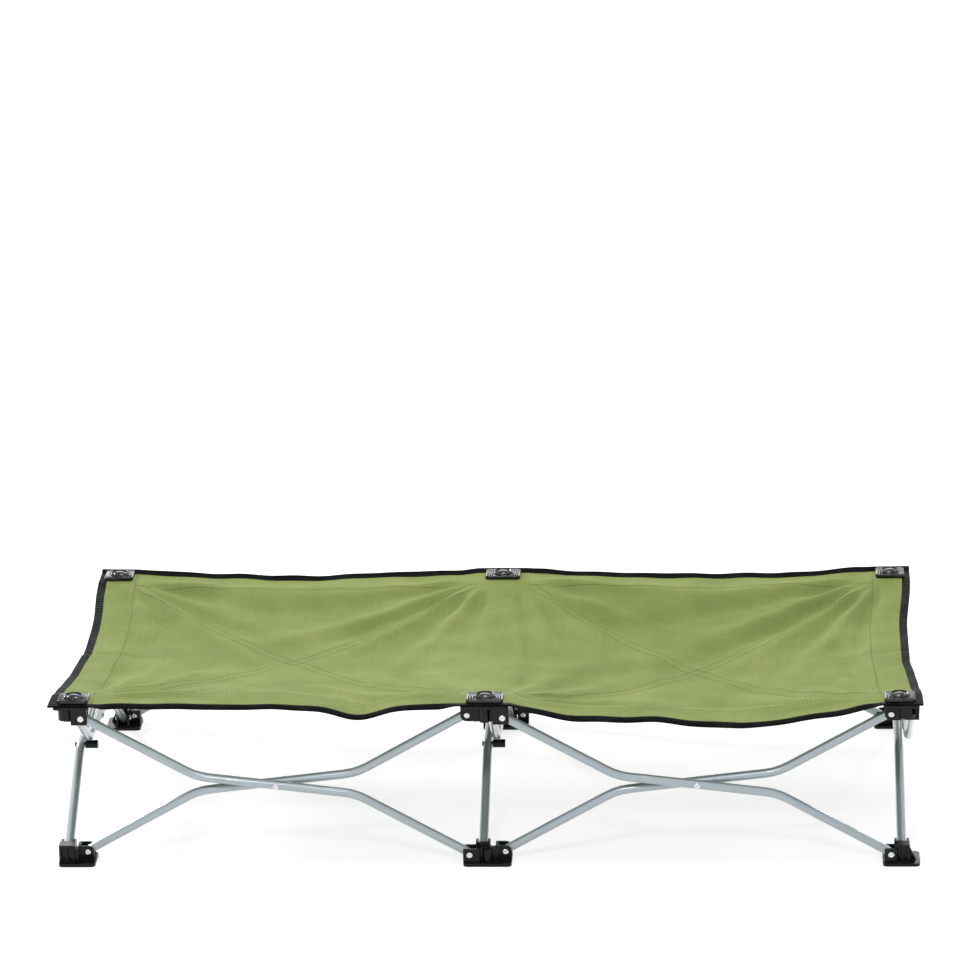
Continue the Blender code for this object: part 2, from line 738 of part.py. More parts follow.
def sling_mesh():
    """The sheet as one surface, its grid lines drawn in to the clamps."""
    half_x = grid_lines(MIDDLE_CLAMP_FLAT[0], CAP_X, CLAMP_FLAT[0], SLING_HALF_X, PANEL_COLUMNS)
    half_y = grid_lines(0.0, CAP_Y, CLAMP_FLAT[1], SLING_HALF_Y, PANEL_ROWS)
    half_y.insert(-1, BACK_RISE[0])
    lines_x = sorted({*half_x, *(-x for x in half_x)})
    lines_y = sorted({*half_y, *(-y for y in half_y)})
    bm = bmesh.new()
    bmesh.ops.create_grid(bm, x_segments=len(lines_x) - 1, y_segments=len(lines_y) - 1, size=1.0)
    for vert in bm.verts:
        column = round((vert.co.x + 1) / 2 * (len(lines_x) - 1))
        row = round((vert.co.y + 1) / 2 * (len(lines_y) - 1))
        vert.co = sling_point(lines_x[column], lines_y[row])
    mesh = finished(bm, "sling")
    mesh.shade_smooth()
    return mesh


def sling(material):
    """The clamped sheet, with a hole for the stud of each cap."""
    obj = add_part("fabric_sling", sling_mesh(), material, body="top_bracket_front_middle")
    solidify = obj.modifiers.new("thickness", "SOLIDIFY")
    solidify.thickness = SLING_THICKNESS
    solidify.offset = 0.0
    holes = bmesh.new()
    for x, y, _ in clamp_places():
        add_cylinder(holes, (x, y, SLING_Z), (0, 0, 1), STUD_HOLE_RADIUS, 5 * SLING_THICKNESS)
    boolean = obj.modifiers.new("stud_holes", "BOOLEAN")
    boolean.operation = "DIFFERENCE"
    boolean.solver = "EXACT"
    boolean.object = add_cutter("stud_holes", finished(holes, "stud_holes"))
    return obj


def cap_mesh(name, size, rib_sides):
    """A clamp cap round its centre: a plate with ribs, a domed button and a stud below it."""
    half_x, half_y = size[0] / 2, size[1] / 2
    top = CAP_THICKNESS
    plate, trim = bmesh.new(), bmesh.new()
    add_rounded_plate(plate, (-half_x, -half_y, 0), (half_x, half_y, top), CAP_CORNER)
    for side in rib_sides:
        for i in range(RIB_COUNT):
            x = side * (half_x - RIB_INSET - i * RIB_PITCH)
            low = (x - RIB_WIDTH / 2, RIB_INSET - half_y, top / 2)
            high = (x + RIB_WIDTH / 2, half_y - RIB_INSET, top + RIB_HEIGHT)
            add_box(trim, low, high)
    stud_top = top / 2
    stud_length = CAP_BOTTOM + stud_top - STUD_BOTTOM
    add_cylinder(trim, (0, 0, stud_top - stud_length / 2), (0, 0, 1), STUD_RADIUS, stud_length)
    add_dome(trim, top / 2, top + DOME_HEIGHT)
    mesh = joined_solid(name, plate, pins=trim)
    shade(mesh)
    return mesh


def add_dome(bm, bottom, top):
    """The upper half of a flattened ball, closed by a flat bottom."""
    ball = bmesh.ops.create_uvsphere(bm, u_segments=BARREL_SIDES, v_segments=DOME_RINGS, radius=DOME_RADIUS)
    for vert in ball["verts"]:
        vert.co.z = bottom + max(0.0, vert.co.z) * (top - bottom) / DOME_RADIUS


def caps(material):
    """Six clamp caps, each held by the top bracket below it."""
    corner = cap_mesh("corner_cap", CAP_SIZE, (LEFT,))
    middle = cap_mesh("middle_cap", MIDDLE_CAP_SIZE, (LEFT, RIGHT))
    for x, y, _ in clamp_places():
        place = Vector((x, y, CAP_BOTTOM))
        spot = spot_name(place)
        mesh = corner if x else middle
        turn = math.pi if x < 0 else 0.0
        add_part(f"clamp_cap_{spot}", mesh, material, place, turn, f"top_bracket_{spot}")


# Joints


def joint_place(child, parent):
    """A point on the axis of the joint between a body and the one that it hangs on."""
    tube = child if child.startswith("tube") else parent
    scissor, member = tube.removeprefix("tube_").rsplit("_", 1)
    _, centre, turn = next(frame for frame in scissor_frames() if frame[0] == scissor)
    if child.startswith("tube") and parent.startswith("tube"):
        return centre
    level = "top" if child.startswith("top") else "foot"
    offset = Vector((0, HALF_PITCH if member == "inner" else -HALF_PITCH, 0))
    return centre + Matrix.Rotation(turn, 3, "Z") @ (offset + end_place(member, level))


def add_pivot(body, place):
    pivot = bpy.data.objects.new(f"pivot_{body}", None)
    pivot.empty_display_size = 0.02
    pivot.location = place
    bpy.context.scene.collection.objects.link(pivot)
    return pivot


def hang(child, pivot, pivot_place):
    """Parent an object to a pivot without moving it."""
    child.parent = pivot
    child.matrix_parent_inverse = Matrix.Translation(-pivot_place)


def hang_on_pivots():
    """One empty per moving body at its joint, nested as the bodies are, with the pieces on it."""
    places = {child: joint_place(child, parent) for child, parent in HANGS_ON.items()}
    pivots = {body: add_pivot(body, place) for body, place in places.items()}
    for child, parent in HANGS_ON.items():
        if parent in pivots:
            hang(pivots[child], pivots[parent], places[parent])
    for obj in bpy.data.collections[PARTS_COLLECTION].objects:
        body = obj["body"]
        if body in pivots:
            hang(obj, pivots[body], places[body])


def main():
    clear_scene()
    new_collection(PARTS_COLLECTION)
    new_collection(CUTTERS_COLLECTION)
    steel = principled("painted_steel_tube", (0.55, 0.60, 0.64), 0.35, 0.6)
    rivet_steel = principled("rivet_steel", (0.80, 0.80, 0.82), 0.22, 1.0)
    plastic = principled("black_plastic", (0.012, 0.012, 0.013), 0.30)
    cloth = principled("green_woven_fabric", (0.262, 0.352, 0.114), 0.85)
    brackets(plastic)
    scissors(steel, rivet_steel, plastic)
    sling(cloth)
    caps(plastic)
    hang_on_pivots()


main()
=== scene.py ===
"""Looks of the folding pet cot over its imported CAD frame: metres, +Z up, the front at -Y.

The frame brings the tubes, brackets, feet and pegs. Made here are the sling with its folds, binding,
straps and stitches, the clamp caps, the rivet heads, all materials, the floor, the lights and the
camera.
"""

import json
import math
import random

import bmesh
import bpy
import numpy as np
from mathutils import Matrix, Vector

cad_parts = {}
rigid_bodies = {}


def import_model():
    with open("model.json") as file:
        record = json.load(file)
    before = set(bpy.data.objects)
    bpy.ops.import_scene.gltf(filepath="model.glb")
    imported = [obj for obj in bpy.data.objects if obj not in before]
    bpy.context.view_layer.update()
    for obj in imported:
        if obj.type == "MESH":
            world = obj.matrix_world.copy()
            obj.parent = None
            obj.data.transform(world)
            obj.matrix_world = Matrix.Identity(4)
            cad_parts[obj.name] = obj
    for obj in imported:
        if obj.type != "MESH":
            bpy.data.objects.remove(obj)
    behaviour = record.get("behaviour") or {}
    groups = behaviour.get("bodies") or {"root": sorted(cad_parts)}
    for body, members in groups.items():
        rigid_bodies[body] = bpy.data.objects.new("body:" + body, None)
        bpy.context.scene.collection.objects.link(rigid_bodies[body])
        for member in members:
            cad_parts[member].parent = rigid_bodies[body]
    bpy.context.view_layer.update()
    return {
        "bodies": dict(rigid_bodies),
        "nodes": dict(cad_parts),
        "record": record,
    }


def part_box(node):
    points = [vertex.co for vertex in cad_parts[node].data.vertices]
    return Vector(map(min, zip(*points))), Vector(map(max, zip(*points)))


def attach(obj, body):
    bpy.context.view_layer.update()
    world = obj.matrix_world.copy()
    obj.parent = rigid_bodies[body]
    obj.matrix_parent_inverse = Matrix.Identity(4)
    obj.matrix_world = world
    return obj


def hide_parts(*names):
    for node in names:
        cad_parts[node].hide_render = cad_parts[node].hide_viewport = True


FRONT, BACK = -1, 1
LEFT, RIGHT = -1, 1
MILLIMETRE = 0.001

# The photograph's view
CAMERA_PLACE = (0.38136, -6.89469, 2.60638)
CAMERA_FORWARD = (-0.054907, 0.953621, -0.295962)
CAMERA_RIGHT = (0.998480, 0.050988, -0.020936)
CAMERA_SENSOR = 36.0  # millimetres
CAMERA_LENS = 192.27
CAMERA_REACH = 60.0  # metres; nothing further away is drawn

# The sling, as in the CAD
SLING_HALF_X = 0.597
SLING_HALF_Y = 0.2945
SLING_Z = 0.2340  # middle of the sheet at the clamps
CAP_X = 0.568
CAP_Y = 0.270
CLAMP_FLAT = (0.025, 0.022)  # half size of the flat at a corner clamp
MIDDLE_CLAMP_FLAT = (0.036, 0.022)
REACH_X = CAP_X - CLAMP_FLAT[0]  # from the middle of the cot to the flats of the corner clamps
REACH_Y = CAP_Y - CLAMP_FLAT[1]  # and to the flats at the front and back
CLAMP_BLEND = 0.030  # folds build up over this distance from a clamp
END_BOW = {LEFT: 0.0074, RIGHT: 0.0082}  # the left and right edges curve in by this much
END_BOW_FULL_Y = 0.09  # reached here, coming from the back clamp
END_BOW_FADE = 2.5  # power at which the curve fades towards the middle of the cot
END_KINK_Y = {LEFT: 0.000, RIGHT: -0.045}  # the end edges turn back out from here on
END_KINK_POWER = 0.75  # below 1, so that they turn sharply there
END_FLARE = {LEFT: 0.005, RIGHT: 0.003}  # to end outside the straight edge at the front corners
SLING_BOW_Y = 0.006  # front and back edges curve in by this much

# How far the loaded sling hangs below the clamps
END_EDGE_SAG = 0.026
MIDDLE_LINE_SAG = 0.030
BACK_EDGE_SAG = 0.008
PANEL_SAG = 0.008  # more in the middle of each panel
FRONT_LEFT_SAG = 0.002
FRONT_LEFT_DIP = (-0.176, 0.052, 0.015)  # place, half width and depth in the front edge
FRONT_RIGHT_SAG = 0.031
FRONT_RIGHT_LOW_X = 0.350  # lowest place of the front edge on the right
FRONT_RIGHT_POWERS = (3.2, 1.3)  # shape of the edge before that place and after it
FRONT_RIGHT_RISE = (0.215, 0.060, 0.008)  # place, half width and height
FRONT_DIP_FADE = 3  # power at which the dip and the rise fade towards the back

# Cloth
CLOTH_THICKNESS = 0.0008
CLOTH_STEP = 0.0040
FRONT_DROP = 0.0045  # the free front edge turns down by this much
BACK_RISE = 0.0052  # the back edge turns up by this much
EDGE_TURN = 0.0065  # over this width
EDGE_CURL = 1.4  # power of that turn
END_CREASE = (0.0, 0.005, 0.0012)  # place, half width and depth of a crease along the middle line
END_CREASE_START = 0.40  # from this distance from the middle of the cot
END_CREASE_RISE = 0.15  # to its full depth over this length
NORMAL_STEP = 0.0008  # half the distance over which the slope of the cloth is taken

# Folds that fan out from the clamps: ranges are drawn at random
FOLD_SEED = 11
FOLDS_PER_CLAMP = 8
FOLD_ORIGIN = 0.6  # from the middle of a clamp, as a share of its half flat
FOLD_FAN = (3, 84)  # degrees: the first direction and the width of the fan
FOLD_PLACE = (0.2, 0.8)  # in the share of the fan that one fold has
FOLD_WIDTH = 0.008  # at its origin
FOLD_SPREAD = (0.020, 0.050)  # growth of that width with the distance
FOLD_HEIGHT = (0.0034, 0.0072)
FOLD_REACH = (0.15, 0.40)  # distance at which it has sunk to about a third
FOLD_START = 0.010  # distance from its origin at which it starts to rise
FOLD_RISE = 0.06  # length over which it rises

# Low waves of slack cloth
RIPPLE_SEED = 5
RIPPLES = 9
RIPPLE_LENGTH = (0.05, 0.16)
RIPPLE_HEIGHT = (0.2, 0.5)  # millimetres

# Tapes and stitches on the cloth
BINDING_WIDTH = {"side": 0.0088, "end": 0.0120}
BINDING_THICKNESS = {"side": 0.0022, "end": 0.0025}  # of the whole bound edge
BINDING_STATIONS = {"side": 300, "end": 150}
BINDING_OVERHANG = {"side": -0.0002, "end": 0.0004}  # past the corners of the sling
STRAP_WIDTH = 0.020
STRAP_THICKNESS = 0.0010
STRAP_DEPTH = 0.0011  # from the middle of the cloth to the middle of a strap
STRAP_STEP = 0.004
STRAP_IN_X = 0.012  # a strap starts this far in from the middle of a corner cap
STRAP_IN_Y = 0.014  # and this far in from the middle of the caps at both of its ends
STRAP_STOP_X = 0.022  # and stops this far from the middle of the cot
BAND_COLUMNS = 9
TAPE_ROUNDING = 0.3  # share of a tape's thickness
TAPE_EDGE_ANGLE = math.radians(60)
SEAM_X = 0.542  # stitch line along each end
SEAM_Y = 0.240  # and along the front and back
SEAM_RUN = (0.040, 0.540)  # start and stop of the front and back stitch lines, from the middle
STRAP_SEAM_INSET = 0.0025  # from the edges of a strap to its stitch lines
STRAP_SEAM_START = 0.030  # from its ends
STITCH_LENGTH = 0.0032
STITCH_PITCH = 0.0052
THREAD_RADIUS = 0.00055
THREAD_SIDES = 4
STITCH_RINGS = (  # place in the stitch's length, then size and lift in thread radii
    (-0.50, 0.25, -0.7),
    (-0.25, 0.90, 0.2),
    (0.25, 0.90, 0.2),
    (0.50, 0.25, -0.7),
)

# How the cloth follows the frame as it folds
CLOTH_BODY = "top_bracket_front_middle"
SPOTS = ("front_left", "front_middle", "front_right", "back_left", "back_middle", "back_right")
HANG_SHARE = 0.60  # how far the folded cloth hangs from the top brackets towards the feet
HANG_POWER = 1.3  # of the arches between the brackets in which it hangs
HANG_START = 0.533  # beyond this distance from the middle the cloth stays with a corner bracket
LEAST_WEIGHT = 1e-4  # smaller shares in the movement are left out

# Clamp caps and rivets
CAP_BOTTOM = 0.2355  # where a cap's plate lies on the cloth
CAP_SIZE = (0.042, 0.036)
MIDDLE_CAP_SIZE = (0.051, 0.036)
CAP_THICKNESS = 0.0046
CAP_CORNER = 0.005
CAP_RIM = 0.0009  # rounding of the upper rim
CAP_CREASE_ANGLE = math.radians(50)
RIBS_PER_SIDE = 3
RIB_PITCH = 0.0034
RIB_INSET = 0.0036  # from the edges of the plate
RIB_HALF_WIDTH = 0.0010
RIB_HEIGHT = 0.0011
RIB_ROUNDING = 0.0005
BUTTON_SEGMENTS = 32
BUTTON_PROFILE = (  # radius and height over the plate: dome, groove and ring
    (0.0000, 0.0038),
    (0.0035, 0.0036),
    (0.0065, 0.0029),
    (0.0088, 0.0016),
    (0.0098, 0.0002),
    (0.0106, 0.0000),
    (0.0112, 0.0004),
    (0.0118, 0.0024),
    (0.0127, 0.0030),
    (0.0136, 0.0027),
    (0.0143, 0.0014),
    (0.0149, -0.0002),
)
END_PLANE_X = 0.578  # between the two tubes of an end scissor
HALF_PITCH = 0.0066  # from there to the middle plane of each tube
END_PIVOT_Y = 0.266  # pivots of the end and middle tubes
FOOT_PIVOT_Z = 0.015
TOP_PIVOT_Z = 0.216
CHEEK_FACE = 0.00995  # from the middle plane of a tube end to the outside of its cheek
HEAD_SEGMENTS = 24
HEAD_RADIUS = 0.0045
HEAD_HEIGHT = 0.0016
HEAD_PROFILE = (  # radius and height: dimple of the setting tool, dome, rim and underside
    (0.0000, HEAD_HEIGHT - 0.0012),
    (0.0009, HEAD_HEIGHT - 0.0011),
    (0.0015, HEAD_HEIGHT - 0.0002),
    (0.0020, HEAD_HEIGHT),
    (0.0028, HEAD_HEIGHT - 0.0001),
    (0.0036, HEAD_HEIGHT - 0.0005),
    (0.0043, HEAD_HEIGHT - 0.0011),
    (HEAD_RADIUS, 0.0001),
    (HEAD_RADIUS - 0.0004, -0.0004),
    (0.0000, -0.0004),
)
HEAD_SIDES = ((-1, "a"), (1, "b"))

# Shading of the CAD nodes
MERGE_DISTANCE = 0.00001
CREASE_ANGLE = math.radians(42)  # CAD edges that turn more than this stay sharp

# Floor, world and lamps
FLOOR_X = (-6, 6)
FLOOR_Y = (-6, 9)
FLOOR_GREY = (0.55, 0.57)
FLOOR_WHITE = (0.76, 0.97)  # the camera sees the floor this much whiter, near the cot and far away
FLOOR_NEAR = (0.75, 1.9)  # from the first distance to the second it changes
WORLD_COLOUR = (0.95, 0.97, 1.0, 1.0)
WORLD_STRENGTH = 0.26
LAMPS = {  # place, target, size and watts
    "overhead_softbox": ((0.2, 0.1, 2.4), (0, 0, 0.1), (1.2, 0.9), 37.0),
    "front_strobe": ((-0.5, -2.6, 2.5), (0, 0, 0.15), (0.5, 0.4), 21.0),
    "back_softbox": ((-0.2, 3.2, 1.34), (0, 0, 0.24), (2.2, 0.55), 14.0),
    "left_back_strobe": ((-2.1, 1.6, 1.3), (0, 0, 0.20), (0.4, 0.4), 38.0),
    "right_back_strobe": ((1.8, 2.2, 1.3), (0, 0, 0.20), (0.3, 0.3), 8.0),
}


# Node materials


class Nodes:
    """A small helper that adds and joins the nodes of one material."""

    def __init__(self, name):
        self.material = bpy.data.materials.new(name)
        self.material.use_nodes = True
        self.tree = self.material.node_tree
        self.shader = self.tree.nodes["Principled BSDF"]
        self.output = self.tree.nodes["Material Output"]

    def add(self, kind, **settings):
        node = self.tree.nodes.new(kind)
        for key, value in settings.items():
            setattr(node, key, value)
        return node

    def link(self, source, target):
        self.tree.links.new(source, target)

    def constant(self, **values):
        for key, value in values.items():
            self.shader.inputs[key.replace("_", " ")].default_value = value

    def connect(self, **sources):
        for key, source in sources.items():
            self.link(source, self.shader.inputs[key.replace("_", " ")])

    def coordinates(self, scale=(1, 1, 1)):
        """Places on the object, in metres, stretched by scale."""
        place = self.add("ShaderNodeTexCoord").outputs["Object"]
        mapping = self.add("ShaderNodeMapping")
        mapping.inputs["Scale"].default_value = scale
        self.link(place, mapping.inputs["Vector"])
        return mapping.outputs["Vector"]

    def noise(self, vector, scale, detail=3.0, roughness=0.5):
        node = self.add("ShaderNodeTexNoise")
        node.inputs["Scale"].default_value = scale
        node.inputs["Detail"].default_value = detail
        node.inputs["Roughness"].default_value = roughness
        self.link(vector, node.inputs["Vector"])
        return node.outputs["Fac"]

    def product(self, first, second):
        node = self.add("ShaderNodeMath", operation="MULTIPLY")
        self.link(first, node.inputs[0])
        self.link(second, node.inputs[1])
        return node.outputs[0]

    def wave(self, vector, direction, scale):
        node = self.add("ShaderNodeTexWave", wave_type="BANDS", bands_direction=direction)
        node.inputs["Scale"].default_value = scale
        self.link(vector, node.inputs["Vector"])
        return node.outputs["Fac"]

    def spread(self, factor, low, high):
        """A number between low and high."""
        node = self.add("ShaderNodeMapRange")
        node.inputs["To Min"].default_value = low
        node.inputs["To Max"].default_value = high
        self.link(factor, node.inputs["Value"])
        return node.outputs["Result"]

    def colours(self, factor, stops):
        node = self.add("ShaderNodeValToRGB")
        ramp = node.color_ramp
        while len(ramp.elements) < len(stops):
            ramp.elements.new(0.5)
        for element, (position, colour) in zip(ramp.elements, stops):
            element.position = position
            element.color = (*colour, 1.0)
        self.link(factor, node.inputs["Fac"])
        return node.outputs["Color"]

    def multiplied(self, colour, other, factor):
        node = self.add("ShaderNodeMix", data_type="RGBA", blend_type="MULTIPLY")
        node.inputs["Factor"].default_value = factor
        self.link(colour, node.inputs["A"])
        self.link(other, node.inputs["B"])
        return node.outputs["Result"]

    def bump(self, height, strength, distance, normal=None):
        node = self.add("ShaderNodeBump")
        node.inputs["Strength"].default_value = strength
        node.inputs["Distance"].default_value = distance
        self.link(height, node.inputs["Height"])
        if normal is not None:
            self.link(normal, node.inputs["Normal"])
        return node.outputs["Normal"]

    def rounded_edges(self, radius):
        node = self.add("ShaderNodeBevel", samples=6)
        node.inputs["Radius"].default_value = radius
        return node.outputs["Normal"]


def seen_rays(tree):
    """1 for what the camera sees directly, in gloss or through glass, otherwise 0."""
    ray = tree.nodes.new("ShaderNodeLightPath")
    seen = ray.outputs["Is Camera Ray"]
    for output in ("Is Glossy Ray", "Is Transmission Ray"):
        larger = tree.nodes.new("ShaderNodeMath")
        larger.operation = "MAXIMUM"
        tree.links.new(seen, larger.inputs[0])
        tree.links.new(ray.outputs[output], larger.inputs[1])
        seen = larger.outputs[0]
    return seen


def tube_paint():
    """Silver-grey paint with a faint orange peel and small tone changes."""
    made = Nodes("silver_tube_paint")
    place = made.coordinates()
    tone = made.noise(place, scale=18.0, detail=4.0)
    made.connect(
        Base_Color=made.colours(tone, ((0.3, (0.505, 0.590, 0.635)), (0.7, (0.545, 0.630, 0.675)))),
        Roughness=made.spread(tone, low=0.30, high=0.35),
        Normal=made.bump(made.noise(place, scale=900.0, detail=2.0), strength=0.10, distance=0.0004),
    )
    made.constant(Metallic=0.25, Coat_Weight=1.0, Coat_Roughness=0.13)
    return made.material


def rivet_steel():
    """Bright steel with fine wear in its colour and gloss."""
    made = Nodes("bright_rivet_steel")
    place = made.coordinates()
    wear = made.noise(place, scale=700.0, detail=3.0)
    made.connect(
        Base_Color=made.colours(wear, ((0.3, (0.56, 0.56, 0.57)), (0.7, (0.70, 0.70, 0.71)))),
        Roughness=made.spread(wear, low=0.16, high=0.30),
        Normal=made.bump(wear, strength=0.08, distance=0.0002),
    )
    made.constant(Metallic=1.0)
    return made.material


def moulded_plastic(name, colour, rough, grain, gloss):
    """Black moulded plastic: fine grain, softened edges and slightly uneven gloss."""
    made = Nodes(name)
    place = made.coordinates()
    cloudy = made.noise(place, scale=60.0, detail=3.0)
    darker = tuple(0.7 * value for value in colour)
    edges = made.rounded_edges(radius=0.0006)
    fine = made.noise(place, scale=1500.0, detail=2.0)
    made.connect(
        Base_Color=made.colours(cloudy, ((0.3, darker), (0.7, colour))),
        Roughness=made.spread(cloudy, *rough),
        Normal=made.bump(fine, strength=grain, distance=0.0003, normal=edges),
    )
    made.constant(Specular_IOR_Level=gloss)
    return made.material


def sling_cloth():
    """Plain woven polyester: a fine weave, uneven threads both ways, faded clouds and a soft sheen."""
    made = Nodes("green_sling_cloth")
    place = made.coordinates()
    clouds = made.noise(place, scale=9.0, detail=5.0, roughness=0.6)
    green = made.colours(
        clouds,
        ((0.30, (0.185, 0.235, 0.058)), (0.52, (0.225, 0.280, 0.076)), (0.75, (0.265, 0.320, 0.098))),
    )
    warp = made.wave(place, "X", scale=420.0)
    weft = made.wave(place, "Y", scale=420.0)
    weave = made.product(warp, weft)
    gaps = made.colours(weave, ((0.0, (0.55, 0.58, 0.50)), (1.0, (1.0, 1.0, 1.0))))
    woven = made.multiplied(green, gaps, factor=0.25)
    along = made.noise(made.coordinates((22, 330, 22)), scale=1.0, detail=2.0)
    across = made.noise(made.coordinates((330, 22, 22)), scale=1.0, detail=2.0)
    uneven = made.product(along, across)
    slubs = made.colours(uneven, ((0.15, (0.94, 0.945, 0.92)), (0.36, (1.03, 1.025, 1.02))))
    crumple = made.bump(made.noise(place, scale=55.0, detail=4.0), strength=0.25, distance=0.002)
    made.connect(
        Base_Color=made.multiplied(woven, slubs, factor=1.0),
        Roughness=made.spread(clouds, low=0.62, high=0.78),
        Normal=made.bump(weave, strength=0.30, distance=0.0004, normal=crumple),
    )
    made.constant(Specular_IOR_Level=0.25)
    return made.material


def woven_tape(name, dark, light, rib_scale):
    """Ribbed black tape with painted sheen on its ribs, in patches. Its UV map is in metres, along and
    across.
    """
    made = Nodes(name)
    uv = made.add("ShaderNodeUVMap").outputs["UV"]
    ribs = made.wave(uv, "X", scale=rib_scale)
    cloudy = made.noise(uv, scale=24.0, detail=4.0)
    # painted sheen: the ribs are painted lighter in cloudy patches, in place of gloss on the tape
    painted_rib_sheen = made.product(ribs, cloudy)
    tones = ((0.38, (dark, dark, 1.1 * dark)), (0.68, (light, light, 1.1 * light)))
    threads = made.bump(made.noise(uv, scale=1400.0, detail=2.0), strength=0.25, distance=0.0003)
    made.connect(
        Base_Color=made.colours(painted_rib_sheen, tones),
        Roughness=made.spread(cloudy, low=0.42, high=0.60),
        Normal=made.bump(ribs, strength=0.55, distance=0.0008, normal=threads),
    )
    made.constant(Specular_IOR_Level=0.04)
    return made.material


def sewing_thread(name, colour):
    """Twisted thread, darker in places."""
    made = Nodes(name)
    place = made.coordinates()
    twist = made.noise(place, scale=2500.0, detail=1.0)
    darker = tuple(0.75 * value for value in colour)
    made.connect(Base_Color=made.colours(twist, ((0.3, darker), (0.7, colour))))
    made.constant(Roughness=0.55)
    return made.material


# Shape of the hanging cloth


def smooth_step(value):
    value = np.clip(value, 0.0, 1.0)
    return value * value * (3 - 2 * value)


def clamp_places():
    """Middle and flat half size of the six clamped places."""
    places = []
    for side in (FRONT, BACK):
        places += [(end * CAP_X, side * CAP_Y, CLAMP_FLAT) for end in (LEFT, RIGHT)]
        places.append((0.0, side * CAP_Y, MIDDLE_CLAMP_FLAT))
    return places


def away_from_clamps(x, y):
    """0 on the clamped flats, 1 further away from every clamp than CLAMP_BLEND."""
    free = np.ones_like(x)
    for clamp_x, clamp_y, (flat_x, flat_y) in clamp_places():
        over_x = np.maximum(0.0, np.abs(x - clamp_x) - flat_x)
        over_y = np.maximum(0.0, np.abs(y - clamp_y) - flat_y)
        free *= smooth_step(np.hypot(over_x, over_y) / CLAMP_BLEND)
    return free


def arch(share, power=2.0):
    """1 in the middle of a span and 0 at its ends."""
    return 1 - np.abs(2 * share - 1) ** power


def share_between(value, start, stop):
    return np.clip((value - start) / (stop - start), 0.0, 1.0)


def bell(x, shape):
    place, half_width, height = shape
    return height * np.exp(-(((x - place) / half_width) ** 2))


def front_line_sag(x):
    """The front edge where no dip is: a small sag on the left and a deep, uneven one on the right."""
    left = FRONT_LEFT_SAG * arch(share_between(np.abs(x), MIDDLE_CLAMP_FLAT[0], REACH_X))
    before = 1 - share_between(x, MIDDLE_CLAMP_FLAT[0], FRONT_RIGHT_LOW_X)
    after = share_between(x, FRONT_RIGHT_LOW_X, REACH_X)
    steep, gentle = FRONT_RIGHT_POWERS
    right = FRONT_RIGHT_SAG * (1 - before**steep - after**gentle)
    return np.where(x < 0, left, right)


def sag(x, y):
    """How far the cloth hangs below the clamps: each panel is drawn between its four edges."""
    along = share_between(np.abs(x), MIDDLE_CLAMP_FLAT[0], REACH_X)
    back = share_between(y, -REACH_Y, REACH_Y)
    across_lines = MIDDLE_LINE_SAG + (END_EDGE_SAG - MIDDLE_LINE_SAG) * along
    side_lines = (1 - back) * front_line_sag(x) + back * BACK_EDGE_SAG * arch(along)
    dips = (bell(x, FRONT_LEFT_DIP) - bell(x, FRONT_RIGHT_RISE)) * (1 - back) ** FRONT_DIP_FADE
    return across_lines * arch(back) + side_lines + dips + PANEL_SAG * arch(along) * arch(back)


def radial_folds():
    """Folds that fan out from each clamp: start, direction, spread, height and reach."""
    dice = random.Random(FOLD_SEED)
    first, fan = FOLD_FAN
    folds = []
    for clamp_x, clamp_y, (flat_x, flat_y) in clamp_places():
        inward_y = -math.copysign(1.0, clamp_y)
        sectors = (LEFT, RIGHT) if clamp_x == 0 else (-math.copysign(1.0, clamp_x),)
        for toward in sectors:
            start_x = clamp_x + toward * flat_x * FOLD_ORIGIN
            start_y = clamp_y + inward_y * flat_y * FOLD_ORIGIN
            for i in range(FOLDS_PER_CLAMP):
                share = (i + dice.uniform(*FOLD_PLACE)) / FOLDS_PER_CLAMP
                angle = math.radians(first + fan * share)
                direction = math.atan2(inward_y * math.sin(angle), toward * math.cos(angle))
                spread = dice.uniform(*FOLD_SPREAD)
                height = (-1) ** i * dice.uniform(*FOLD_HEIGHT)
                reach = dice.uniform(*FOLD_REACH)
                folds.append(((start_x, start_y), direction, spread, height, reach))
    return folds


def fold_height(x, y, folds):
    total = np.zeros_like(x)
    for (start_x, start_y), direction, spread, height, reach in folds:
        dx, dy = x - start_x, y - start_y
        along = dx * math.cos(direction) + dy * math.sin(direction)
        across = dy * math.cos(direction) - dx * math.sin(direction)
        width = FOLD_WIDTH + spread * np.maximum(along, 0.0)
        strength = smooth_step((along - FOLD_START) / FOLD_RISE) * np.exp(-((along / reach) ** 2))
        total += height * strength * np.exp(-((across / width) ** 2))
    return total


def ripple_height(x, y):
    """Slack in the cloth: a few long, low waves."""
    dice = random.Random(RIPPLE_SEED)
    total = np.zeros_like(x)
    for _ in range(RIPPLES):
        heading = dice.uniform(0, math.pi)
        length = dice.uniform(*RIPPLE_LENGTH)
        phase = dice.uniform(0, 2 * math.pi)
        height = dice.uniform(*RIPPLE_HEIGHT) * MILLIMETRE
        along = x * math.cos(heading) + y * math.sin(heading)
        total += height * np.sin(2 * math.pi * along / length + phase)
    return total


FOLDS = radial_folds()


def end_bow(y, end):
    """How far an end edge is drawn in. From its kink on it turns out towards the front corner."""
    drawn_in = END_BOW[end] * smooth_step(share_between(-y, -REACH_Y, -END_BOW_FULL_Y))
    turned_out = share_between(-y, -END_KINK_Y[end], CAP_Y) ** END_KINK_POWER
    return drawn_in - (END_BOW[end] + END_FLARE[end]) * turned_out


